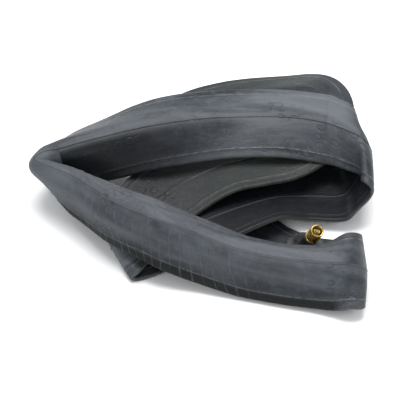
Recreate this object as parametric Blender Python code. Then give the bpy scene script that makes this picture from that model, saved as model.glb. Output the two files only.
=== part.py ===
"""Bicycle inner tube, let down and folded into a bundle, with a short rubber-covered Schrader valve.

Metres, +Z up. The bundle lies on z = 0 with its bounding box centred on the origin.
The tube is one endless butyl pipe. Let down, it is a strip STRIP_WIDTH wide, and it is described by ribs
along its route: where its centre line lies, which way its left edge points, and how far it is folded
lengthwise along the centre line. The valve is a stack of turned parts on one leaning axis.
"""

import math

import bmesh
import bpy
import numpy as np
from mathutils import Matrix, Vector

MM = 0.001

# Tube strip, in millimetres
STRIP_WIDTH = 50.0        # flat width of the let-down tube
WALL = 0.9                # butyl wall
MIDDLE_HALF = 1.9         # half thickness of the strip along its centre line
EDGE_HALF = 1.3           # half thickness near its two edges
RIDGE_ZONE = 16.0         # width of the band that bends where the strip folds lengthwise
STEPS_PER_RIB = 3         # rings of the mesh between two ribs
BORE_GAP = 0.35           # least half gap between the two inner walls
TIP_START, TIP_LENGTH = -72.0, 18.0    # where the layers under the left-hand tip start to lean inwards
TIP_TOP, TIP_LEAN = 26.0, 0.3          # height of the tip, and how far they lean for each mm below it

# Each rib: x, y, z of the centre line, heading and rise of the left edge, lengthwise fold, in mm and degrees
FRONT_UPPER = [
    (-80, 11, 28, 105, 18, 128), (-69, 13.5, 30, 104, 18, 100), (-50, 16, 34, 100, 18, 76),
    (-33, 20, 36, 97, 20, 60), (-15, 25, 36, 95, 21, 50), (6, 31, 34, 93, 17, 38),
    (24, 35, 31.5, 91, 14, 28), (47, 35, 31.5, 90, 14, 28), (66, 30, 33, 92, 18, 38),
    (80, 22, 34.5, 94, 20, 42),
]
RIGHT_UPPER_FOLD = [(92, 12, 33.5, 96, 14, 34), (95.5, 7, 23, 98, 6, 14), (88.5, 0.5, 10, 97, -3, 20)]
FLOOR_STRAND = [
    (80, -2, 3.5, 95, 2, 26), (60, -1, 2.2, 93, 1, 26), (40, -7.5, 5.8, 102, -6, 22),
    (16, -21, 7.8, 114, -6, 14), (-10, -35, 7.0, 120, -2, 6), (-29, -42, 4.6, 118, 3, 0),
]
LEFT_LOWER_FOLD = [(-43, -47, 3.8, 115, 7, 0), (-47.5, -48, 6.4, 115, 8, 0), (-42.5, -44.5, 9.2, 116, 7, 0)]
MIDDLE_STRAND = [
    (-27, -18, 11, 121, 8, 0), (-8, 0, 12.5, 118, 0, 0), (12, 11, 14, 108, -6, 0),
    (32, 19, 14, 102, -6, 6), (48, 25, 15, 106, -10, 24),
]
BACK_HAIRPIN = [(59, 32.5, 19, 130, -28, 64), (65, 49, 23, 180, -40, 84), (60.5, 66, 22, 228, -34, 72)]
BACK_STRAND = [(44, 73, 17, 258, -8, 36), (20, 73, 13, 268, 0, 14), (-5, 66, 10, 262, 0, 0)]
HIDDEN_FOLD = [(-22, 60, 10, 248, 0, 0), (-31, 55.5, 6, 239, 0, 0), (-23, 48, 2, 230, 0, 0)]
CROSS_STRAND = [
    (-3, 14, 1.8, 214, 0, 0), (14, -20, 1.8, 222, 0, 0), (36, -46, 1.8, 246, 0, 0), (60, -59, 1.8, 265, 0, 0),
]
RIGHT_LOWER_FOLD = [(80, -64, 2.8, 270, -1, 0), (89.5, -74, 11, 270, -13, 6), (83, -79.5, 19.5, 270, -17, 32)]
FRONT_LOWER = [
    (68, -81, 22, 270, -18, 78), (47, -78, 22, 269, -18, 92), (23, -71, 22, 265, -18, 90),
    (2, -63, 25, 261, -18, 84), (-24, -57, 33, 254, -22, 94), (-50, -41, 34, 244, -23, 112),
    (-72, -18, 31, 232, -24, 138),
]
LEFT_HAIRPIN = [(-88, -5, 28.5, 208, -26, 168), (-93.5, 2, 26.5, 164, -30, 174), (-88.5, 9, 27, 112, 2, 160)]
RIBS = (FRONT_UPPER + RIGHT_UPPER_FOLD + FLOOR_STRAND + LEFT_LOWER_FOLD + MIDDLE_STRAND + BACK_HAIRPIN
        + BACK_STRAND + HIDDEN_FOLD + CROSS_STRAND + RIGHT_LOWER_FOLD + FRONT_LOWER + LEFT_HAIRPIN)

# Valve, in millimetres; w runs up its axis from the ball centre
VALVE_AXIS = Vector((0.293, -0.428, 0.854)).normalized()
VALVE_FOOT = (58.2, -43.6)     # where the axis meets the strand it stands on
FOOT_HEIGHT = 3.6              # top of that strand
BALL_HEIGHT = 6.0              # ball centre above the strand, along the axis
BALL_RADIUS = 4.5
GAP = 0.3
STEM_BOTTOM, STEM_TOP = -2.9, 16.0
SHANK_RADIUS = 3.0
CAP_THREAD_RADIUS = 3.85       # 8V1 cap thread, 7.7 across
CAP_THREAD_PITCH = 0.794
CORE_BORE_RADIUS = 2.7         # 5V1 core thread
LOWER_BORE_RADIUS = 2.05
PIN_RADIUS = 0.5
SEGMENTS = 24


def clear_scene():
    for item in list(bpy.data.objects):
        bpy.data.objects.remove(item, do_unlink=True)


def material(name, colour, roughness, metallic=0.0):
    result = bpy.data.materials.new(name)
    result.use_nodes = True
    shader = result.node_tree.nodes["Principled BSDF"]
    shader.inputs["Base Color"].default_value = (*colour, 1.0)
    shader.inputs["Roughness"].default_value = roughness
    shader.inputs["Metallic"].default_value = metallic
    result.diffuse_color = (*colour, 1.0)
    return result


def new_object(name, points, faces, finish):
    """A mesh object whose faces are turned to point outwards."""
    mesh = bpy.data.meshes.new(name)
    mesh.from_pydata([tuple(point) for point in points], [], faces)
    work = bmesh.new()
    work.from_mesh(mesh)
    bmesh.ops.recalc_face_normals(work, faces=work.faces)
    if work.calc_volume(signed=True) < 0:
        bmesh.ops.reverse_faces(work, faces=work.faces)
    work.to_mesh(mesh)
    work.free()
    mesh.shade_smooth()
    mesh.set_sharp_from_angle(angle=math.radians(35))
    item = bpy.data.objects.new(name, mesh)
    bpy.context.scene.collection.objects.link(item)
    if finish:
        item.data.materials.append(finish)
    return item


def cutter(item):
    item.hide_render = True
    item.display_type = "WIRE"
    return item


def add_boolean(item, tool, operation):
    step = item.modifiers.new(operation.lower(), "BOOLEAN")
    step.operation = operation
    step.object = tool
    step.solver = "EXACT"


# ---------------------------------------------------------------- the strip and its route


def closed_curve(values):
    """Catmull-Rom curve through a closed row of values, STEPS_PER_RIB samples to each interval."""
    rows = []
    count = len(values)
    for i in range(count):
        a, b, c, d = values[i - 1], values[i], values[(i + 1) % count], values[(i + 2) % count]
        for step in range(STEPS_PER_RIB):
            t = step / STEPS_PER_RIB
            rows.append(0.5 * (2 * b + (c - a) * t + (2 * a - 5 * b + 4 * c - d) * t ** 2
                               + (3 * b - a - 3 * c + d) * t ** 3))
    return np.array(rows)


def unit(rows):
    return rows / np.linalg.norm(rows, axis=-1, keepdims=True)


def route():
    """Centre points, left-edge directions, face normals and lengthwise folds of every ring."""
    ribs = np.array(RIBS, float)
    centres = closed_curve(ribs[:, :3])
    heading, rise = np.radians(ribs[:, 3]), np.radians(ribs[:, 4])
    left = np.stack([np.cos(heading) * np.cos(rise), np.sin(heading) * np.cos(rise), np.sin(rise)], axis=1)
    left = unit(closed_curve(left))
    along = unit(np.roll(centres, -1, axis=0) - np.roll(centres, 1, axis=0))
    normals = unit(np.cross(along, left))
    folds = np.radians(closed_curve(ribs[:, 5]))
    return centres, left, normals, folds


def leg(distance, fold):
    """Reach and drop of the strip at a distance from its centre line."""
    bend = RIDGE_ZONE / 2
    inside = min(abs(distance), bend)
    straight = abs(distance) - inside
    slope = 0.5 * fold * inside / bend
    if slope < 1e-6:
        return distance, 0.0
    radius = inside / slope
    reach = radius * math.sin(slope) + straight * math.cos(slope)
    drop = radius * (1 - math.cos(slope)) + straight * math.sin(slope)
    return math.copysign(reach, distance), drop


def lean_tip(rows):
    """Leans the layers that hang under the left-hand tip inwards, so that the bundle ends in a point."""
    near = np.clip((TIP_START - rows[..., 0]) / TIP_LENGTH, 0, 1)
    rows[..., 0] += TIP_LEAN * near * np.clip(TIP_TOP - rows[..., 2], 0, None)
    return rows


def middle_surface(distances):
    """The strip's middle surface, a row of points for every ring, and the direction its face looks there."""
    rows = []
    for centre, left, normal, fold in zip(*route()):
        places = [leg(distance, fold) for distance in distances]
        rows.append([centre + reach * left - drop * normal for reach, drop in places])
    rows = lean_tip(np.array(rows))
    along = np.roll(rows, -1, axis=0) - np.roll(rows, 1, axis=0)
    across = np.gradient(rows, axis=1)
    return rows, unit(np.cross(along, across))


def half_thickness(distance):
    flat = STRIP_WIDTH / 2 - EDGE_HALF
    return EDGE_HALF + (MIDDLE_HALF - EDGE_HALF) * (1 - min(abs(distance) / flat, 1.0) ** 2)


def pipe_rings(inset):
    """Closed rings round the strip: over the upper face, round the left edge and back under."""
    edge, flat = STRIP_WIDTH / 2, STRIP_WIDTH / 2 - EDGE_HALF
    distances = [-edge, -flat, -8.0, -4.0, 0.0, 4.0, 8.0, flat, edge]
    rows, faces = middle_surface(distances)
    offsets = np.array([max(half_thickness(s) - inset, BORE_GAP) for s in distances[1:-1]])[None, :, None]
    upper = rows[:, 1:-1] + offsets * faces[:, 1:-1]
    lower = (rows[:, 1:-1] - offsets * faces[:, 1:-1])[:, ::-1]
    if inset:
        return np.concatenate([upper, lower], axis=1)
    return np.concatenate([upper, rows[:, -1:], lower, rows[:, :1]], axis=1)


def lie_on_floor(rings, floor):
    rings[..., 2] = np.maximum(rings[..., 2], floor)
    return rings


def pipe_faces(rings, sides, start, flip):
    faces = []
    for i in range(rings):
        for k in range(sides):
            a, b = start + i * sides + k, start + i * sides + (k + 1) % sides
            c = start + ((i + 1) % rings) * sides + (k + 1) % sides
            d = start + ((i + 1) % rings) * sides + k
            faces.append((d, c, b, a) if flip else (a, b, c, d))
    return faces


def tube_surfaces():
    outer = lie_on_floor(pipe_rings(0.0), 0.0)
    inner = lie_on_floor(pipe_rings(WALL), WALL)
    low, high = outer.min(axis=(0, 1)), outer.max(axis=(0, 1))
    shift = np.array([-(low[0] + high[0]) / 2, -(low[1] + high[1]) / 2, -low[2]])
    return outer + shift, inner + shift, shift


def make_tube(outer, inner, finish, hole):
    rings, sides, inner_sides = len(outer), outer.shape[1], inner.shape[1]
    points = np.concatenate([outer.reshape(-1, 3), inner.reshape(-1, 3)]) * MM
    mesh = bpy.data.meshes.new("inner_tube")
    faces = pipe_faces(rings, sides, 0, False)
    faces += pipe_faces(rings, inner_sides, rings * sides, True)
    mesh.from_pydata([tuple(point) for point in points], [], faces)
    mesh.shade_smooth()
    item = bpy.data.objects.new("inner_tube", mesh)
    bpy.context.scene.collection.objects.link(item)
    item.data.materials.append(finish)
    add_boolean(item, hole, "DIFFERENCE")
    return item


# ---------------------------------------------------------------- turned parts


def turned(name, profile, place, finish, segments=SEGMENTS):
    """A closed (radius, height) outline in mm turned about the local Z axis of a place."""
    points, faces, rows = [], [], []
    for radius, height in profile:
        if radius == 0:
            rows.append([len(points)] * segments)
            points.append(Vector((0, 0, height * MM)))
            continue
        rows.append(list(range(len(points), len(points) + segments)))
        for k in range(segments):
            angle = 2 * math.pi * k / segments
            points.append(Vector((radius * math.cos(angle), radius * math.sin(angle), height)) * MM)
    for upper, lower in zip(rows, rows[1:] + rows[:1]):
        for k in range(segments):
            corners = [upper[k], lower[k], lower[(k + 1) % segments], upper[(k + 1) % segments]]
            corners = list(dict.fromkeys(corners))
            if len(corners) > 2:
                faces.append(corners)
    item = new_object(name, points, faces, finish)
    item.matrix_world = place
    return item


def axis_place(origin, direction):
    turn = Vector((0, 0, 1)).rotation_difference(direction).to_matrix().to_4x4()
    return Matrix.Translation(origin) @ turn


def ridged(radius, depth, low, high, pitch):
    """Outline points of a fine thread as rings, from high down to low."""
    count = int((high - low) / pitch)
    points = []
    for k in range(count):
        top = high - k * pitch
        points += [(radius - depth, top), (radius, top - 0.5 * pitch)]
    points.append((radius - depth, high - count * pitch))
    return points


def make_pad(place, foot_place, finish):
    """Bonded rubber foot: a thin round patch with a leaning boss and a socket for the ball of the sheath."""
    pad = turned("valve_pad", [(0, 1.3), (9.2, 1.3), (10.8, 0.6), (10.8, 0.25), (0, 0.25)], foot_place, finish, 36)
    boss = turned("boss_shape", [(0, 1.5), (5.7, 1.5), (6.4, 0.4), (7.2, -5.0), (7.6, -10.0), (0, -10.0)], place, None)
    below = turned("below_pad", [(0, 0.25), (16, 0.25), (16, -14), (0, -14)], foot_place, None)
    socket = turned("socket_shape", ball_outline(BALL_RADIUS + GAP), place, None)
    mouth = turned("mouth_shape", [(0, 3.0), (5.35, 3.0), (4.7, 0.0), (4.2, -2.0), (0, -2.0)], place, None)
    passage = turned("passage_shape", [(0, 4), (2.6, 4), (2.6, -4), (0, -4)], foot_place, None)
    for tool, operation in ((boss, "UNION"), (below, "DIFFERENCE"), (socket, "DIFFERENCE"),
                            (mouth, "DIFFERENCE"), (passage, "DIFFERENCE")):
        add_boolean(pad, cutter(tool), operation)
    return pad


def ball_outline(radius, top=90.0, bottom=-90.0, steps=10):
    """Half circle from the top pole to the bottom pole, as (radius, height) pairs."""
    points = []
    for k in range(steps + 1):
        angle = math.radians(top + (bottom - top) * k / steps)
        points.append((max(radius * math.cos(angle), 0.0) if abs(math.cos(angle)) > 1e-9 else 0,
                       radius * math.sin(angle)))
    return points


def make_sheath(place, finish):
    bore = SHANK_RADIUS + GAP
    ball = ball_outline(BALL_RADIUS, 28, -42, 7)
    profile = [(bore, 5.7), (3.75, 5.7), (3.95, 5.4), (3.95, 3.0)] + ball + [(bore, -3.03)]
    return turned("stem_sheath", profile, place, finish)


def make_stem(place, finish):
    thread = ridged(CAP_THREAD_RADIUS, 0.14, 7.6, 15.2, CAP_THREAD_PITCH)
    outside = [(3.55, STEM_TOP), (CAP_THREAD_RADIUS, STEM_TOP - 0.3)] + thread
    outside += [(3.6, 7.2), (3.6, 6.9), (3.95, 6.7), (3.95, 6.1), (SHANK_RADIUS, 6.0), (SHANK_RADIUS, STEM_BOTTOM)]
    inside = [(LOWER_BORE_RADIUS, STEM_BOTTOM), (LOWER_BORE_RADIUS, 7.2), (CORE_BORE_RADIUS, 8.5),
              (CORE_BORE_RADIUS, STEM_TOP - 0.3), (2.95, STEM_TOP)]
    return turned("valve_stem", outside + inside, place, finish, 36)


def make_plug(place, finish):
    """Threaded head of the core: a screw collar under a narrow slotted bridge."""
    thread = ridged(2.4, 0.12, 9.2, 13.2, 0.705)
    profile = [(0.95, 15.2), (1.85, 15.2), (2.0, 15.0), (2.0, 13.5), (2.28, 13.3)] + thread
    profile += [(1.85, 9.0), (1.85, 8.7), (0.95, 8.7)]
    plug = turned("core_plug", profile, place, finish)
    for side in (-1, 1):
        flat = box_object("flat_shape", (3.0, 1.6, 1.9), (0, side * 1.75, 14.65), place)
        add_boolean(plug, cutter(flat), "DIFFERENCE")
    return plug


def box_object(name, size, centre, place):
    points = [Vector(((i - 0.5) * size[0] + centre[0], (j - 0.5) * size[1] + centre[1],
                      (k - 0.5) * size[2] + centre[2])) * MM for i in (0, 1) for j in (0, 1) for k in (0, 1)]
    faces = [(0, 1, 3, 2), (4, 6, 7, 5), (0, 4, 5, 1), (2, 3, 7, 6), (0, 2, 6, 4), (1, 5, 7, 3)]
    item = new_object(name, points, faces, None)
    item.matrix_world = place
    return item


def make_core(place, brass, nickel, rubber, steel):
    turned("core_barrel", [(0.9, 8.4), (1.15, 8.4), (1.15, 6.8), (1.75, 6.6), (1.75, 0.5), (0.95, 0.5),
                           (0.95, 0.85), (1.4, 0.85), (1.4, 6.0), (0.9, 6.3)], place, nickel, 20)
    turned("core_gasket", [(1.45, 8.35), (2.3, 8.35), (1.95, 7.6), (1.72, 7.0), (1.45, 7.0)], place, rubber, 20)
    turned("core_pin", [(0, 15.75), (0.6, 15.75), (0.72, 15.6), (0.72, 15.0), (PIN_RADIUS, 14.8),
                        (PIN_RADIUS, 5.8), (1.15, 5.7), (1.15, 5.3), (PIN_RADIUS, 5.2), (PIN_RADIUS, -0.15),
                        (0, -0.15)], place, nickel, 16)
    turned("core_cup", [(0, -0.5), (1.2, -0.5), (1.2, -0.15), (1.65, -0.15), (1.65, -0.9), (1.2, -1.4),
                        (0, -1.4)], place, brass, 20)
    turned("core_seal", [(0.8, 0.2), (1.5, 0.2), (1.5, 0.05), (0.8, 0.05)], place, rubber, 20)
    make_spring(place, steel)


def make_spring(place, finish):
    """Fine coil spring between the foot of the barrel and the shoulder of the pin."""
    coil_radius, wire, low, high, turns, sides, per_turn = 1.05, 0.14, 1.1, 4.95, 6, 5, 12
    points, faces = [], []
    steps = turns * per_turn
    for i in range(steps + 1):
        angle = 2 * math.pi * i / per_turn
        centre = Vector((coil_radius * math.cos(angle), coil_radius * math.sin(angle),
                         low + (high - low) * i / steps))
        out = Vector((math.cos(angle), math.sin(angle), 0))
        for k in range(sides):
            turn = 2 * math.pi * k / sides
            points.append((centre + wire * (math.cos(turn) * out + math.sin(turn) * Vector((0, 0, 1)))) * MM)
    for i in range(steps):
        for k in range(sides):
            a, b = i * sides + k, i * sides + (k + 1) % sides
            faces.append((a, b, b + sides, a + sides))
    faces.append(tuple(range(sides)))
    faces.append(tuple(range(steps * sides, (steps + 1) * sides)))
    item = new_object("core_spring", points, faces, finish)
    item.matrix_world = place


def main():
    clear_scene()
    butyl = material("butyl_rubber", (0.10, 0.105, 0.115), 0.55)
    moulded = material("moulded_rubber", (0.02, 0.02, 0.022), 0.5)
    brass = material("brass", (0.58, 0.42, 0.12), 0.3, 1.0)
    core_brass = material("core_brass", (0.62, 0.5, 0.24), 0.28, 1.0)
    nickel = material("nickel_plate", (0.72, 0.7, 0.64), 0.22, 1.0)
    seal = material("seal_rubber", (0.03, 0.03, 0.03), 0.6)
    steel = material("spring_steel", (0.5, 0.5, 0.5), 0.3, 1.0)

    outer, inner, shift = tube_surfaces()
    foot = Vector((VALVE_FOOT[0] + shift[0], VALVE_FOOT[1] + shift[1], FOOT_HEIGHT + shift[2]))
    foot_place = Matrix.Translation(foot * MM)
    place = axis_place((foot + VALVE_AXIS * BALL_HEIGHT) * MM, VALVE_AXIS)
    hole = cutter(turned("air_hole", [(0, 2.5), (2.5, 2.5), (2.5, -1.9), (0, -1.9)], foot_place, None))
    make_tube(outer, inner, butyl, hole)
    make_pad(place, foot_place, moulded)
    make_sheath(place, moulded)
    make_stem(place, brass)
    make_plug(place, core_brass)
    make_core(place, core_brass, nickel, seal, steel)


main()
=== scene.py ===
"""Looks of the folded inner tube: a fine talcum-dusted butyl skin with painted light and shade, a rubber
valve boot, a turned brass stem.

The skin follows the same ribs as the CAD tube, in millimetres, and stands for it.
Every point of the skin carries "strip" (metres along the tube, metres across it, which face),
"tone" (wrinkle, crinkle, olive) and "wear_and_painted_light" (dust with painted light, painted shade,
splice), which the rubber's material reads.
"""

import math

import bmesh
import bpy
import numpy as np
from mathutils import Matrix, Vector, noise


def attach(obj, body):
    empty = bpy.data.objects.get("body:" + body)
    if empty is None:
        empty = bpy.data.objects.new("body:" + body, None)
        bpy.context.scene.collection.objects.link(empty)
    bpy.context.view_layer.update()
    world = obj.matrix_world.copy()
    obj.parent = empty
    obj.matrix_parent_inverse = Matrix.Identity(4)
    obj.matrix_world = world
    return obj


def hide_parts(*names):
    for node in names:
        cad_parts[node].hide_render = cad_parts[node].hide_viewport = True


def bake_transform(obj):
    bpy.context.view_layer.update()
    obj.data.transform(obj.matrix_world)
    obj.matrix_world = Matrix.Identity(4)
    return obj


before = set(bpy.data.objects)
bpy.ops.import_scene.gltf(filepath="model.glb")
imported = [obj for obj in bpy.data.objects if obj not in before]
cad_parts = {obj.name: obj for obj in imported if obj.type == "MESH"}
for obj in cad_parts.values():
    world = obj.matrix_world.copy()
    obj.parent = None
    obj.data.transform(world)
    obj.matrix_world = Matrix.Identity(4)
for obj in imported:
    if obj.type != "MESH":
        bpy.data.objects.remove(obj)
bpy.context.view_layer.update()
MM = 0.001

# ---------------------------------------------------------------- the strip, as in the CAD

STRIP_WIDTH = 50.0
MIDDLE_HALF, EDGE_HALF = 1.9, 1.3      # half of the strip's thickness at its middle and near its edges
RIDGE_ZONE = 16.0                      # width over which a lengthwise fold bends
TIP_START, TIP_LENGTH = -72.0, 18.0    # where the layers under the left-hand tip start to lean inwards
TIP_TOP, TIP_LEAN = 26.0, 0.3          # height of the tip, and how far they lean for each mm below it
ROUTE_SHIFT = np.array([-0.50835, 1.36803, 0.0])   # moves the route to the middle of the CAD frame

# Each rib: x, y, z of the centre line, heading and rise of the left edge, lengthwise fold, in mm and degrees
BANDS = {
    "front_upper": [
        (-80, 11, 28, 105, 18, 128), (-69, 13.5, 30, 104, 18, 100), (-50, 16, 34, 100, 18, 76),
        (-33, 20, 36, 97, 20, 60), (-15, 25, 36, 95, 21, 50), (6, 31, 34, 93, 17, 38),
        (24, 35, 31.5, 91, 14, 28), (47, 35, 31.5, 90, 14, 28), (66, 30, 33, 92, 18, 38),
        (80, 22, 34.5, 94, 20, 42),
    ],
    "right_upper_fold": [(92, 12, 33.5, 96, 14, 34), (95.5, 7, 23, 98, 6, 14), (88.5, 0.5, 10, 97, -3, 20)],
    "floor_strand": [
        (80, -2, 3.5, 95, 2, 26), (60, -1, 2.2, 93, 1, 26), (40, -7.5, 5.8, 102, -6, 22),
        (16, -21, 7.8, 114, -6, 14), (-10, -35, 7.0, 120, -2, 6), (-29, -42, 4.6, 118, 3, 0),
    ],
    "left_lower_fold": [
        (-43, -47, 3.8, 115, 7, 0), (-47.5, -48, 6.4, 115, 8, 0), (-42.5, -44.5, 9.2, 116, 7, 0),
    ],
    "middle_strand": [
        (-27, -18, 11, 121, 8, 0), (-8, 0, 12.5, 118, 0, 0), (12, 11, 14, 108, -6, 0),
        (32, 19, 14, 102, -6, 6), (48, 25, 15, 106, -10, 24),
    ],
    "back_hairpin": [(59, 32.5, 19, 130, -28, 64), (65, 49, 23, 180, -40, 84), (60.5, 66, 22, 228, -34, 72)],
    "back_strand": [(44, 73, 17, 258, -8, 36), (20, 73, 13, 268, 0, 14), (-5, 66, 10, 262, 0, 0)],
    "hidden_fold": [(-22, 60, 10, 248, 0, 0), (-31, 55.5, 6, 239, 0, 0), (-23, 48, 2, 230, 0, 0)],
    "cross_strand": [
        (-3, 14, 1.8, 214, 0, 0), (14, -20, 1.8, 222, 0, 0), (36, -46, 1.8, 246, 0, 0),
        (60, -59, 1.8, 265, 0, 0),
    ],
    "right_lower_fold": [
        (80, -64, 2.8, 270, -1, 0), (89.5, -74, 11, 270, -13, 6), (83, -79.5, 19.5, 270, -17, 32),
    ],
    "front_lower": [
        (68, -81, 22, 270, -18, 78), (47, -78, 22, 269, -18, 92), (23, -71, 22, 265, -18, 90),
        (2, -63, 25, 261, -18, 84), (-24, -57, 33, 254, -22, 94), (-50, -41, 34, 244, -23, 112),
        (-72, -18, 31, 232, -24, 138),
    ],
    "left_hairpin": [
        (-88, -5, 28.5, 208, -26, 168), (-93.5, 2, 26.5, 164, -30, 174), (-88.5, 9, 27, 112, 2, 160),
    ],
}

# ---------------------------------------------------------------- the marks on the skin

RINGS_PER_RIB = 18
EVEN_OVER = 4                          # rings on either side over which the face directions are evened out
MOULD_LINE, LINE_WIDTH = 19.5, 0.34    # distance of the outer mould lines from the centre line, their width
GROOVE, GROOVE_WIDTH, GROOVE_DEPTH = 21.6, 1.2, 0.12      # the shallow groove inside each edge
FULL_RELIEF_HALF = 0.9                 # half thickness below which the marks fade out, towards the edges
WRINKLE_PITCH = 5.6
SPLICE_RIB = 8.45                      # where the ends of the tube are joined, counted in ribs
SPLICE_HALF, SPLICE_SLANT = 0.19, 0.004    # half the overlap in ribs, slant of its edge in ribs for each mm


def closed_curve(values, steps):
    """Catmull-Rom curve through a closed row of values."""
    values = np.asarray(values, float)
    t = (np.arange(steps) / steps)[None, :, None]
    a, b = np.roll(values, 1, axis=0)[:, None], values[:, None]
    c, d = np.roll(values, -1, axis=0)[:, None], np.roll(values, -2, axis=0)[:, None]
    square, cube = 2 * a - 5 * b + 4 * c - d, 3 * b - a - 3 * c + d
    curve = 0.5 * (2 * b + (c - a) * t + square * t ** 2 + cube * t ** 3)
    return curve.reshape(-1, values.shape[1])


def unit(rows):
    return rows / np.linalg.norm(rows, axis=-1, keepdims=True)


def smooth(low, high, value):
    """0 at low and before it, 1 at high and past it; low may be the larger one."""
    x = np.clip((value - low) / (high - low), 0, 1)
    return x * x * (3 - 2 * x)


def ridge(value, centre, width):
    """A rounded ridge, 1 high, at a centre."""
    return np.exp(-((value - centre) / width) ** 2)


def band_span(name):
    """First and last rib index of a band."""
    first = 0
    for key, ribs in BANDS.items():
        if key == name:
            return first, first + len(ribs) - 1
        first += len(ribs)
    raise KeyError(name)


def on_band(name, rib, soft=1.0):
    """1 on a band, fading to 0 over the ribs on either side."""
    low, high = band_span(name)
    return smooth(low - soft, low, rib) * (1 - smooth(high, high + soft, rib))


def legs(distances, folds):
    """Reach and drop of the strip at distances from the centre line, for every ring's lengthwise fold."""
    bend = RIDGE_ZONE / 2
    s, fold = np.abs(distances)[None, :], np.maximum(folds, 1e-4)[:, None]
    inside = np.minimum(s, bend)
    straight = s - inside
    slope = 0.5 * fold * inside / bend
    radius = bend / (0.5 * fold)
    reach = radius * np.sin(slope) + straight * np.cos(slope)
    drop = radius * (1 - np.cos(slope)) + straight * np.sin(slope)
    return np.sign(distances)[None, :] * reach, drop


def lean_tip(rows):
    """Leans the layers that hang under the left-hand tip inwards, so that the bundle ends in a point."""
    near = np.clip((TIP_START - rows[..., 0]) / TIP_LENGTH, 0, 1)
    rows[..., 0] += TIP_LEAN * near * np.clip(TIP_TOP - rows[..., 2], 0, None)
    return rows


def strip_surface(distances):
    """The strip's middle surface in mm, its face directions, the rib index and the length at every ring."""
    ribs = np.array([rib for band in BANDS.values() for rib in band], float)
    centres = closed_curve(ribs[:, :3], RINGS_PER_RIB)
    heading, rise = np.radians(ribs[:, 3]), np.radians(ribs[:, 4])
    left = np.stack([np.cos(heading) * np.cos(rise), np.sin(heading) * np.cos(rise), np.sin(rise)], axis=1)
    left = unit(closed_curve(left, RINGS_PER_RIB))
    along = unit(np.roll(centres, -1, axis=0) - np.roll(centres, 1, axis=0))
    normals = unit(np.cross(along, left))
    folds = np.radians(closed_curve(ribs[:, 5:6], RINGS_PER_RIB)[:, 0])
    reach, drop = legs(distances, folds)
    rows = lean_tip(centres[:, None] + reach[..., None] * left[:, None] - drop[..., None] * normals[:, None])
    ahead = np.roll(rows, -EVEN_OVER, axis=0) - np.roll(rows, EVEN_OVER, axis=0)
    faces = unit(np.cross(ahead, np.gradient(rows, axis=1)))
    rib = np.arange(len(rows)) / RINGS_PER_RIB
    step = np.linalg.norm(np.roll(centres, -1, axis=0) - centres, axis=1)
    length = np.concatenate([[0.0], np.cumsum(step)[:-1]])
    return rows, faces, rib, length


def across_distances():
    """Distances from the centre line, closer together at the mould lines and the edges."""
    half_width = STRIP_WIDTH / 2
    even = list(np.arange(1.0, half_width - 1.0, 1.0))
    at_lines = [0.25, 0.5, MOULD_LINE - 0.3, MOULD_LINE + 0.3]
    at_edge = [half_width - inset for inset in (1.5, 1.0, 0.6, 0.3, 0.1, 0.0)]
    half = sorted(even + at_lines + at_edge)
    return np.array([-d for d in reversed(half)] + [0.0] + half)


def half_thickness(distances):
    """Half of the thickness: fuller in the middle, rounded at the edges, with a groove inside each edge."""
    away = np.abs(distances)
    flat = STRIP_WIDTH / 2 - EDGE_HALF
    body = EDGE_HALF + (MIDDLE_HALF - EDGE_HALF) * (1 - np.minimum(away / flat, 1.0) ** 2)
    rounding = np.sqrt(np.maximum(1 - (np.maximum(away - flat, 0) / EDGE_HALF) ** 2, 0))
    return body * rounding - GROOVE_DEPTH * ridge(away, GROOVE, GROOVE_WIDTH)


# ---------------------------------------------------------------- relief of the skin


def waves(points, scale, seed):
    """Soft unevenness at points, between -1 and 1."""
    offset = Vector((seed * 13.7, seed * 5.1, seed * 9.3))
    flat = points.reshape(-1, 3)
    values = [noise.noise(Vector(p) * scale + offset) for p in flat]
    return np.array(values).reshape(points.shape[:-1])


def mould_relief(s):
    """The line along the middle of each face and the two fainter ones near its edges."""
    return 0.32 * ridge(s, 0.0, LINE_WIDTH) + 0.14 * ridge(np.abs(s), MOULD_LINE, LINE_WIDTH)


def splice_relief(r, s):
    """The overlap where the tube's ends are joined, with a ridge along its edge."""
    overlap = np.abs(r - SPLICE_RIB - SPLICE_HALF) < SPLICE_HALF
    return 0.3 * ridge(r - SPLICE_SLANT * s, SPLICE_RIB, 0.035) + 0.14 * overlap


def lower_band_relief(r, s, t, points):
    """Crinkles on the far side of the lower front band, wrinkles and a raised seam on its near side."""
    inside = 1 - smooth(20.0, 24.0, np.abs(s))
    crinkle = on_band("front_lower", r) * smooth(-1.0, -4.0, s) * inside
    relief = crinkle * (0.34 * waves(points, 0.42, 5) + 0.2 * waves(points, 0.9, 6))
    count = t / WRINKLE_PITCH + 0.7 * waves(points, 0.05, 7)
    line = np.abs(count - np.round(count))
    wrinkle = on_band("front_lower", r, 0.5) * smooth(3.0, 8.0, s) * inside
    relief = relief - 0.2 * wrinkle * ridge(line, 0.0, 0.13) * (0.5 + 0.5 * waves(points, 0.11, 8))
    seam = on_band("front_lower", r) * ridge(s, MOULD_LINE, 0.5)
    return relief + 0.3 * seam * (1 + 0.4 * waves(points, 0.5, 9))


def face_relief(rib, length, distances, side, points):
    """Height in mm of everything that stands out of one face."""
    r, s, t = rib[:, None], distances[None, :], length[:, None]
    relief = mould_relief(s) + splice_relief(r, s)
    relief = relief + 0.16 * waves(points, 0.055, 1 + side) + 0.09 * waves(points, 0.16, 3 + side)
    return relief + lower_band_relief(r, s, t, points) if side > 0 else relief


# ---------------------------------------------------------------- masks of the skin


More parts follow.
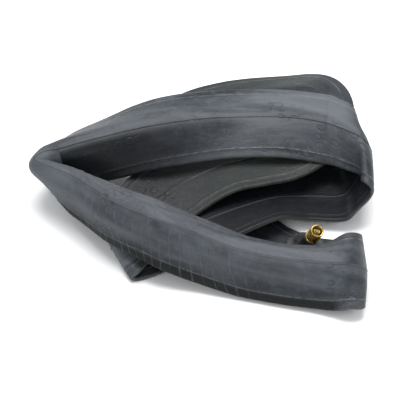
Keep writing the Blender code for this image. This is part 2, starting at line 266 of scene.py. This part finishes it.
def tone_mask(r, s, up):
    """Where the upper face is wrinkled, crinkled and olive."""
    first, last = band_span("front_lower")
    stretch = smooth(first + 1.2, first + 2.6, r) * smooth(last + 0.2, last - 0.8, r)
    wrinkle = on_band("front_lower", r) * smooth(2.0, 6.0, s) * up * stretch
    crinkle = on_band("front_lower", r) * smooth(-0.5, -3.0, s) * up
    olive = (on_band("middle_strand", r, 1.5) + 0.45 * on_band("back_strand", r, 2.0)) * up
    return np.stack([wrinkle, crinkle, np.clip(olive, 0, 1)], axis=-1)


def dust_mask(r, s, up):
    """Talcum on the two front bands and a little in the middle, with painted light on their upper halves and
    the corners at the left.
    """
    # Painted light: more on the upper half of each front band and on the corners at the left.
    upper = on_band("front_upper", r) * up * (0.45 + 0.55 * smooth(-6, 4, s))
    lower = on_band("front_lower", r) * up * (0.6 + 0.4 * smooth(1, -4, s))
    corners = 1.8 * on_band("left_lower_fold", r, 0.8) + 0.8 * on_band("left_hairpin", r, 1.2) * up
    return upper + lower + corners + 0.3 * on_band("middle_strand", r, 1.5)


def shade_mask(r, s, up):
    """Painted shade: where the rubber is painted darker, inside the folds, on faces turned under and deep in
    the bundle.
    """
    first = band_span("middle_strand")[0]
    shade = on_band("front_lower", r) * up * (smooth(19.4, 20.4, s) + 0.25 * smooth(12.0, 19.0, s))
    shade = shade + on_band("front_upper", r) * smooth(1.0, -4.0, s) * (1 - smooth(2.0, 7.0, r))
    shade = shade + 0.9 * on_band("left_hairpin", r) * smooth(-4.0, -12.0, s)
    shade = shade + (on_band("right_upper_fold", r, 0.6) + on_band("floor_strand", r)) * (1 - up)
    shade = shade + 0.6 * on_band("cross_strand", r) * (1 - up)
    shade = shade + on_band("middle_strand", r, 1.5) * up * (0.55 + 0.4 * smooth(first + 2.5, first, r))
    shade = shade + 0.4 * (on_band("back_hairpin", r) + on_band("back_strand", r)) * up
    return np.clip(shade * (1 - on_band("left_lower_fold", r, 0.8)), 0, 1)


def wear_and_painted_light_mask(r, s, up):
    """How dusty every point is, with painted light, how much painted shade it gets, and where the splice is.
    """
    splice = ridge(r, SPLICE_RIB + SPLICE_HALF, 0.2)
    return np.stack([dust_mask(r, s, up), shade_mask(r, s, up), splice], axis=-1)


# ---------------------------------------------------------------- the skin's mesh


def skin_points():
    """Rings of points round the strip, with each ring's rib and length and each point's distance and side."""
    distances = across_distances()
    rows, faces, rib, length = strip_surface(distances)
    half = half_thickness(distances)[None, :]
    fade = np.clip(half / FULL_RELIEF_HALF, 0, 1)
    sides = []
    for side in (1, -1):
        relief = face_relief(rib, length, distances, side, rows) * fade
        sides.append(rows + side * (half + relief)[..., None] * faces)
    upper, lower = sides[0], sides[1][:, 1:-1][:, ::-1]
    rings = np.concatenate([upper, lower], axis=1)
    rings[..., 2] = np.maximum(rings[..., 2], 0.0)
    ring_distance = np.concatenate([distances, distances[1:-1][::-1]])
    ring_side = np.concatenate([np.ones(len(distances)), -np.ones(len(distances) - 2)])
    return rings + ROUTE_SHIFT, rib, length, ring_distance, ring_side


def attribute(mesh, name, values):
    values = np.asarray(values, np.float32).reshape(-1, 3)
    mesh.attributes.new(name, "FLOAT_VECTOR", "POINT").data.foreach_set("vector", values.ravel())


def finished(name, mesh, finish):
    """A smooth-shaded object of a mesh whose faces look outwards."""
    work = bmesh.new()
    work.from_mesh(mesh)
    if work.calc_volume(signed=True) < 0:
        bmesh.ops.reverse_faces(work, faces=work.faces)
    work.to_mesh(mesh)
    work.free()
    mesh.shade_smooth()
    mesh.materials.append(finish)
    item = bpy.data.objects.new(name, mesh)
    bpy.context.scene.collection.objects.link(item)
    return item


def make_skin(finish):
    rings, rib, length, distances, side = skin_points()
    count, sides = rings.shape[:2]
    index = np.arange(count * sides).reshape(count, sides)
    right, ahead = np.roll(index, -1, axis=1), np.roll(index, -1, axis=0)
    faces = np.stack([index, right, np.roll(right, -1, axis=0), ahead], axis=-1).reshape(-1, 4)
    mesh = bpy.data.meshes.new("tube_skin")
    mesh.from_pydata((rings.reshape(-1, 3) * MM).tolist(), [], faces.tolist())
    along, across = np.meshgrid(length * MM, distances * MM, indexing="ij")
    face = np.broadcast_to(side, across.shape)
    attribute(mesh, "strip", np.stack([along, across, face], axis=-1))
    r, s = np.meshgrid(rib, distances, indexing="ij")
    up = np.where(face > 0, 1.0, 0.0)
    attribute(mesh, "tone", tone_mask(r, s, up))
    # dust with painted light, painted shade, and the splice
    attribute(mesh, "wear_and_painted_light", wear_and_painted_light_mask(r, s, up))
    return finished("tube_skin", mesh, finish)


# ---------------------------------------------------------------- node materials


class Nodes:
    """Short ways to add nodes to one material."""

    def __init__(self, name, **shader_values):
        self.material = bpy.data.materials.new(name)
        self.material.use_nodes = True
        self.tree = self.material.node_tree
        self.shader = self.tree.nodes["Principled BSDF"]
        for key, value in shader_values.items():
            self.shader.inputs[key.replace("_", " ")].default_value = value

    def put(self, kind, values=(), **settings):
        item = self.tree.nodes.new("ShaderNode" + kind)
        for key, value in settings.items():
            setattr(item, key, value)
        for key, value in dict(values).items():
            self.feed(item.inputs[key], value)
        return item

    def feed(self, socket, value):
        if isinstance(value, bpy.types.NodeSocket):
            self.tree.links.new(value, socket)
        else:
            socket.default_value = value

    def maths(self, operation, *values, clamp=False):
        return self.put("Math", enumerate(values), operation=operation, use_clamp=clamp).outputs[0]

    def times(self, first, second, clamp=False):
        return self.maths("MULTIPLY", first, second, clamp=clamp)

    def plus(self, first, second, clamp=False):
        return self.maths("ADD", first, second, clamp=clamp)

    def minus(self, first, second, clamp=False):
        return self.maths("SUBTRACT", first, second, clamp=clamp)

    def split(self, name):
        source = self.put("Attribute", attribute_name=name, attribute_type="GEOMETRY")
        return self.put("SeparateXYZ", {0: source.outputs["Vector"]}).outputs

    def vector(self, x, y, z):
        return self.put("CombineXYZ", {0: x, 1: y, 2: z}).outputs[0]

    def object_place(self):
        return self.put("TexCoord").outputs["Object"]

    def grain(self, vector, scale, detail=3.0, roughness=0.55, distortion=0.0):
        values = {"Vector": vector, "Scale": scale, "Detail": detail, "Roughness": roughness,
                  "Distortion": distortion}
        return self.put("TexNoise", values).outputs["Fac"]

    def span(self, value, low, high, to_low=0.0, to_high=1.0):
        values = {"Value": value, "From Min": low, "From Max": high, "To Min": to_low, "To Max": to_high}
        return self.put("MapRange", values, interpolation_type="SMOOTHSTEP").outputs[0]

    def near(self, value, centre, width):
        """1 where a value is at a centre, falling to 0 a width away."""
        return self.span(self.maths("ABSOLUTE", self.minus(value, centre)), width, 0.0)

    def blend(self, factor, first, second):
        item = self.put("Mix", data_type="RGBA")
        self.feed(item.inputs["Factor"], factor)
        for socket, value in zip([i for i in item.inputs if i.type == "RGBA"], (first, second)):
            self.feed(socket, (*value, 1.0) if isinstance(value, tuple) else value)
        return next(o for o in item.outputs if o.type == "RGBA")

    def bump(self, height, strength, distance):
        values = {"Height": height, "Strength": strength, "Distance": distance}
        return self.put("Bump", values).outputs[0]

    def finish(self, **links):
        for key, value in links.items():
            self.feed(self.shader.inputs[key.replace("_", " ")], value)
        return self.material


class Butyl(Nodes):
    """The tube's rubber: what its layers share, and the colour that they build up one after another."""

    FACE_GAP = 0.07            # keeps the patterns of the two faces apart
    HALF_LINE = 0.0005         # half the width of a mould line, in metres
    RIM = (0.0238, 0.0247)     # from where to where the worn edge sets in, in metres

    def __init__(self):
        super().__init__("butyl_rubber", Specular_IOR_Level=0.17)
        self.along, self.across, self.side = self.split("strip")
        self.wrinkle, self.crinkle, self.olive = self.split("tone")
        # dust with painted light, painted shade, and the splice
        self.dust, self.shade, self.splice = self.split("wear_and_painted_light")
        self.lane = self.plus(self.across, self.times(self.side, self.FACE_GAP))
        self.flat = self.stretched(1.0)
        self.mottle = self.grain(self.flat, 210, 5, 0.65, 0.4)
        self.hairs = self.grain(self.stretched(0.12), 900, 3, 0.7, 0.3)
        self.colour = None

    def stretched(self, share):
        """A place on the face; the smaller the share, the longer its patterns run along the tube."""
        return self.vector(self.times(self.along, share), self.lane, 0.0)

    def tint(self, amount, colour):
        self.colour = self.blend(amount, self.colour, colour)

    def ground(self):
        """Uneven dark grey rubber."""
        broad = self.grain(self.stretched(0.22), 70, 4, 0.6, 0.6)
        self.colour = self.blend(self.span(broad, 0.32, 0.7), (0.014, 0.017, 0.021), (0.056, 0.062, 0.07))
        self.tint(self.span(self.mottle, 0.45, 0.74, 0.0, 0.5), (0.07, 0.076, 0.084))

    def talc_and_painted_light_layer(self):
        """Streaks of talcum, denser where the mask adds painted light; returns how much of it lies at each
        place.
        """
        streaks = self.grain(self.stretched(0.22), 38, 5, 0.62, 1.0)
        # Talcum streaks, denser where painted light is added to the mask.
        talc_and_painted_light = self.times(self.span(streaks, 0.38, 0.72), self.dust, clamp=True)
        self.tint(self.times(talc_and_painted_light, 0.75), (0.112, 0.123, 0.137))
        return talc_and_painted_light

    def stains_and_painted_shade(self):
        """Olive and purple tints, brownish hair lines, and painted shade: the inner face painted darker, the
        folds darker still.
        """
        self.tint(self.times(self.olive, self.span(self.mottle, 0.3, 0.7, 0.35, 0.85)), (0.036, 0.041, 0.031))
        purple = self.span(self.grain(self.flat, 420, 4, 0.6, 0.8), 0.42, 0.68, 0.0, 0.6)
        self.tint(self.times(self.crinkle, purple), (0.082, 0.076, 0.09))
        self.tint(self.span(self.hairs, 0.66, 0.78, 0.0, 0.35), (0.075, 0.062, 0.055))
        # Painted shade: the whole inner face is painted darker.
        self.tint(self.span(self.side, 0.5, -0.5, 0.0, 0.3), (0.007, 0.007, 0.008))
        # Painted shade: darker inside the folds, on faces turned under and deep in the bundle.
        self.tint(self.times(self.shade, 0.97), (0.004, 0.0045, 0.006))

    def cells(self):
        """Faint moulded cells in patches of the upper face; returns their outlines."""
        settings = {"Vector": self.stretched(0.7), "Scale": 190.0, "Randomness": 0.55}
        distance = self.put("TexVoronoi", settings, feature="F1").outputs["Distance"]
        patch = self.span(self.grain(self.flat, 36, 3, 0.6), 0.5, 0.62)
        outline = self.times(self.near(distance, 0.42, 0.1), patch)
        outline = self.times(outline, self.span(self.side, -0.5, 0.5))
        self.tint(self.times(outline, 0.42), (0.012, 0.013, 0.015))
        return outline

    def wrinkle_lines(self):
        """Pale lines across the lower front band, tilted and uneven; returns the lines."""
        tilted = self.plus(self.times(self.along, 178.0), self.times(self.across, 45.0))
        count = self.plus(tilted, self.times(self.grain(self.flat, 34, 2), 1.5))
        patch = self.span(self.grain(self.flat, 90, 3, 0.6), 0.36, 0.56, 0.15, 1.0)
        line = self.near(self.maths("FRACT", count), 0.5, 0.13)
        line = self.times(line, self.times(self.wrinkle, patch))
        self.tint(self.times(line, 0.4), (0.12, 0.13, 0.136))
        return line

    def mould_marks(self):
        """The worn mould lines, the rubbed edges and the splice."""
        away = self.maths("ABSOLUTE", self.across)
        # Mould lines and rims fade where the painted shade lies.
        outside_painted_shade = self.minus(1.0, self.times(self.shade, 0.85), clamp=True)
        dash = self.grain(self.vector(self.along, self.side, 0.0), 160, 4, 0.7)
        dash = self.times(self.span(dash, 0.36, 0.62), outside_painted_shade)
        groove = self.near(self.across, -self.HALF_LINE, self.HALF_LINE)
        middle = self.near(self.across, 0.0, self.HALF_LINE)
        outer = self.near(away, MOULD_LINE * MM, self.HALF_LINE)
        self.tint(self.times(groove, 0.7), (0.008, 0.008, 0.009))
        self.tint(self.times(middle, self.times(dash, 0.5)), (0.1, 0.088, 0.078))
        self.tint(self.times(outer, self.times(dash, 0.8)), (0.16, 0.162, 0.15))
        rim = self.times(self.span(away, *self.RIM), outside_painted_shade)
        self.tint(self.times(rim, self.span(self.mottle, 0.3, 0.6, 0.3, 0.8)), (0.075, 0.078, 0.068))
        self.tint(self.times(self.splice, 0.22), (0.09, 0.095, 0.1))

    def powder_marks(self):
        """Pale scratches and specks of powder."""
        slanted = self.plus(self.lane, self.times(self.along, 0.35))
        scratch = self.grain(self.vector(self.times(self.along, 0.1), slanted, 1.7), 1500, 1.5, 0.5)
        patch = self.span(self.grain(self.flat, 95, 2), 0.55, 0.68)
        scratch = self.times(self.span(scratch, 0.74, 0.8), patch)
        specks = self.span(self.grain(self.flat, 2400, 2, 0.5), 0.7, 0.78)
        specks = self.times(specks, self.span(self.mottle, 0.4, 0.65))
        shown = self.span(self.side, -0.5, 0.5, 0.12, 0.8)
        powder = self.times(self.plus(scratch, specks), shown, clamp=True)
        self.tint(self.times(powder, 0.8), (0.24, 0.25, 0.26))

    def fine_height(self, line, outline):
        """Height of the fine grain, the creases, the wrinkle lines and the cells."""
        crease = self.plus(self.times(self.crinkle, 0.9), 0.14)
        height = self.times(self.grain(self.flat, 480, 5, 0.65, 0.9), crease)
        fine = self.grain(self.flat, 1300, 3, 0.6)
        shares = ((fine, 0.16), (self.mottle, 0.35), (line, 0.9), (outline, -0.3), (self.hairs, 0.12))
        for layer, share in shares:
            height = self.plus(height, self.times(layer, share))
        return height


def butyl():
    n = Butyl()
    n.ground()
    talc_and_painted_light = n.talc_and_painted_light_layer()
    n.stains_and_painted_shade()
    outline = n.cells()
    line = n.wrinkle_lines()
    n.mould_marks()
    n.powder_marks()
    rough = n.plus(n.span(n.mottle, 0.3, 0.75, 0.36, 0.5), n.times(talc_and_painted_light, 0.16), clamp=True)
    height = n.fine_height(line, outline)
    return n.finish(Base_Color=n.colour, Roughness=rough, Normal=n.bump(height, 0.8, 0.0007))


def moulded_rubber():
    n = Nodes("moulded_rubber", Specular_IOR_Level=0.45)
    place = n.object_place()
    broad, fine = n.grain(place, 260, 4, 0.6, 0.5), n.grain(place, 2600, 3, 0.6)
    colour = n.blend(n.span(broad, 0.35, 0.7), (0.012, 0.012, 0.013), (0.034, 0.034, 0.036))
    colour = n.blend(n.span(fine, 0.66, 0.8, 0.0, 0.5), colour, (0.12, 0.12, 0.115))
    height = n.plus(n.times(broad, 0.6), n.times(fine, 0.3))
    return n.finish(Base_Color=colour, Roughness=n.span(broad, 0.3, 0.7, 0.36, 0.58),
                    Normal=n.bump(height, 0.5, 0.0003))


def metal(name, dark, light, tarnish, rough):
    """Metal with fine grain, uneven tarnish and small dull spots."""
    n = Nodes(name, Metallic=1.0)
    place = n.object_place()
    broad, fine = n.grain(place, 420, 4, 0.62, 0.6), n.grain(place, 3800, 3, 0.6)
    spots = n.span(n.grain(place, 900, 4, 0.7, 0.8), 0.56, 0.72, 0.0, 0.7)
    colour = n.blend(spots, n.blend(n.span(broad, 0.33, 0.68), dark, light), tarnish)
    roughness = n.plus(n.span(broad, 0.3, 0.7, rough, rough + 0.16), n.times(spots, 0.25))
    height = n.plus(n.times(fine, 0.4), n.times(broad, 0.6))
    return n.finish(Base_Color=colour, Roughness=roughness, Normal=n.bump(height, 0.35, 0.0002))


# ---------------------------------------------------------------- the valve

PIVOT = Vector((59.4511, -44.8021, 8.7283))      # ball centre on the valve's axis, in mm
AXIS = Vector((0.29324, -0.42835, 0.85471)).normalized()
UP = Vector((0, 0, 1))
PLACE = Matrix.Translation(PIVOT) @ UP.rotation_difference(AXIS).to_matrix().to_4x4()
SIDES = 96
TURNS = [k / SIDES for k in range(SIDES)]
THREADS_PART = 3.1            # radius of the stem's wall between the core thread and the cap thread
FOOT_DEPTH = 6.0              # how far the boot's foot lies below the ball
FLAT_HEIGHT = 0.6             # height up to which the foot is flat
LEAN_HEIGHT = 5.0             # height at which the boot leans as far as the valve


def round_point(radius, turn, height=0.0):
    angle = 2 * math.pi * turn
    return Vector((radius * math.cos(angle), radius * math.sin(angle), height))


def ring_solid(name, rows, finish):
    """A closed piece through rows of SIDES points each, in mm, of which the last row meets the first."""
    faces = []
    for i in range(len(rows)):
        j = (i + 1) % len(rows)
        for k in range(SIDES):
            m = (k + 1) % SIDES
            faces.append((i * SIDES + k, i * SIDES + m, j * SIDES + m, j * SIDES + k))
    mesh = bpy.data.meshes.new(name)
    mesh.from_pydata([point * MM for row in rows for point in row], [], faces)
    return finished(name, mesh, finish)


def thread(low, high, pitch, depth, inner=False):
    """Radius change of a V thread between two heights, fading in and out over half a turn."""
    def change(height, turn):
        fade = min(1.0, max(0.0, min(height - low, high - height) / pitch * 2))
        phase = (height / pitch - turn) % 1.0
        return -depth * fade * abs(2 * phase - 1) * (-1 if inner else 1)
    return change


def evenly(low, high, count):
    return [low + (high - low) * k / count for k in range(count + 1)]


def make_stem(finish):
    """Brass stem: thin rounded rim, standard cap thread, a groove, a bottom lip, and a threaded bore."""
    profile = [(16.0, 3.2), (16.0, 3.42), (15.93, 3.56), (15.8, 3.68), (15.6, 3.76), (15.4, 3.8)]
    profile += [(h, 3.85) for h in evenly(15.3, 9.2, 84)]
    profile += [(9.1, 3.74), (8.95, 3.5), (8.7, 3.42), (7.9, 3.42), (7.6, 3.46), (7.4, 3.6), (7.3, 3.75)]
    profile += [(7.2, 3.88), (7.0, 3.95), (6.3, 3.95), (6.12, 3.9), (6.0, 3.75), (6.0, 3.0), (-2.9, 3.0)]
    profile += [(-2.9, 2.05), (7.2, 2.05), (8.4, 2.62)]
    profile += [(h, 2.72) for h in evenly(8.6, 15.2, 80)]
    profile += [(15.5, 2.78), (15.8, 2.88), (15.95, 3.02)]
    cap_thread, core_thread = thread(9.2, 15.3, 0.794, 0.2), thread(8.6, 15.2, 0.705, 0.1, inner=True)
    rows = []
    for height, radius in profile:
        screw = cap_thread if radius > THREADS_PART else core_thread
        rows.append([PLACE @ round_point(radius + screw(height, turn), turn, height) for turn in TURNS])
    return ring_solid("brass_stem", rows, finish)


def make_boot(finish):
    """Rubber foot and sleeve moulded round the stem: a round patch that sweeps up into the leaning sleeve."""
    foot = PIVOT - AXIS * FOOT_DEPTH
    profile = [(0.25, 10.8), (0.55, 10.75), (0.85, 10.4), (1.05, 9.6), (1.25, 8.6), (1.6, 7.4), (2.4, 6.3),
               (3.6, 5.5), (5.0, 4.95), (6.6, 4.55), (8.4, 4.25), (10.0, 4.05), (11.2, 3.95), (11.5, 3.9),
               (11.68, 3.75), (11.7, 3.55), (11.68, 3.35), (11.5, 3.2), (11.2, 3.12)]
    profile += [(h, 3.1) for h in (10.0, 8.0, 6.0, 4.0, 2.4)] + [(1.2, 3.3), (0.25, 3.6)]
    rows = []
    for height, radius in profile:
        lean = float(smooth(0.0, LEAN_HEIGHT, height))
        turned = UP.rotation_difference(UP.lerp(AXIS, lean).normalized())
        centre = foot + AXIS * height
        if height < FLAT_HEIGHT:
            centre.z = foot.z + height
        rows.append([centre + turned @ round_point(radius, turn) for turn in TURNS])
    return ring_solid("valve_boot", rows, finish)


def dress_core(brass, nickel, rubber):
    """The CAD's small core pieces keep their shapes and get their own materials."""
    looks = {"core_plug": brass, "core_cup": brass, "core_barrel": nickel, "core_pin": nickel,
             "core_spring": nickel, "core_gasket": rubber, "core_seal": rubber}
    for name, finish in looks.items():
        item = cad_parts[name]
        item.data.materials.clear()
        item.data.materials.append(finish)
        item.data.shade_smooth()
        item.data.set_sharp_from_angle(angle=math.radians(38))


# ---------------------------------------------------------------- floor, light and camera

FLOOR_HALF = 4.0
CAMERA_DISTANCE, CAMERA_ELEVATION = 1.6, math.radians(40)
FIELD = 0.228                # width of what the camera shows at that distance
SENSOR = 36.0


def make_floor():
    n = Nodes("pale_floor", Roughness=0.9, Specular_IOR_Level=0.1)
    colour = n.blend(n.grain(n.object_place(), 6, 2), (0.86, 0.86, 0.86), (0.9, 0.9, 0.9))
    corners = [(x * FLOOR_HALF, y * FLOOR_HALF, 0) for x, y in ((-1, -1), (1, -1), (1, 1), (-1, 1))]
    mesh = bpy.data.meshes.new("floor")
    mesh.from_pydata(corners, [], [(0, 1, 2, 3)])
    mesh.materials.append(n.finish(Base_Color=colour))
    floor = bpy.data.objects.new("floor", mesh)
    bpy.context.scene.collection.objects.link(floor)


def area_light(name, place, aim, size, power, colour=(1, 1, 1)):
    light = bpy.data.lights.new(name, "AREA")
    light.shape, light.size, light.size_y = "RECTANGLE", size[0], size[1]
    light.energy, light.color = power, colour
    item = bpy.data.objects.new(name, light)
    item.location = place
    item.rotation_euler = (Vector(aim) - Vector(place)).to_track_quat("-Z", "Y").to_euler()
    bpy.context.scene.collection.objects.link(item)


def make_light():
    """A broad light from above, weaker ones from the front and the right, and an even pale room."""
    area_light("top_light", (0.0, 0.35, 1.1), (0.0, 0.0, 0.0), (1.0, 0.8), 20.0)
    area_light("front_light", (-0.5, -1.1, 0.7), (0.0, 0.0, 0.02), (0.9, 0.7), 5.5)
    area_light("right_light", (1.0, -0.2, 0.5), (0.0, 0.0, 0.02), (0.5, 0.5), 3.0, (0.94, 0.97, 1.0))
    world = bpy.data.worlds.new("studio")
    world.use_nodes = True
    background = world.node_tree.nodes["Background"]
    background.inputs["Color"].default_value = (0.95, 0.97, 1.0, 1.0)
    background.inputs["Strength"].default_value = 0.62
    bpy.context.scene.world = world


def make_camera():
    camera = bpy.data.cameras.new("camera")
    camera.sensor_width, camera.lens = SENSOR, SENSOR * CAMERA_DISTANCE / FIELD
    item = bpy.data.objects.new("camera", camera)
    away = Vector((0, -math.cos(CAMERA_ELEVATION), math.sin(CAMERA_ELEVATION)))
    item.location = Vector(ROUTE_SHIFT) * MM + CAMERA_DISTANCE * away
    item.rotation_euler = (math.pi / 2 - CAMERA_ELEVATION, 0, 0)
    bpy.context.scene.collection.objects.link(item)
    bpy.context.scene.camera = item


def make_view():
    """Plain display of the lit scene, with no film curve."""
    bpy.context.scene.view_settings.view_transform = "Standard"


def main():
    rubber = moulded_rubber()
    brass = metal("brass", (0.36, 0.24, 0.055), (0.62, 0.44, 0.13), (0.2, 0.13, 0.035), 0.26)
    core_brass = metal("core_brass", (0.42, 0.3, 0.09), (0.72, 0.56, 0.24), (0.16, 0.1, 0.03), 0.22)
    nickel = metal("nickel_plate", (0.55, 0.53, 0.48), (0.85, 0.83, 0.78), (0.3, 0.27, 0.2), 0.16)

    skin = make_skin(butyl())
    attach(skin, "tube")
    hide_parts("inner_tube")

    boot = make_boot(rubber)
    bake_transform(boot)
    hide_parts("valve_pad", "stem_sheath")

    stem = make_stem(brass)
    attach(stem, "valve")
    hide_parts("valve_stem")

    dress_core(core_brass, nickel, rubber)
    make_floor()
    make_light()
    make_camera()
    make_view()


main()
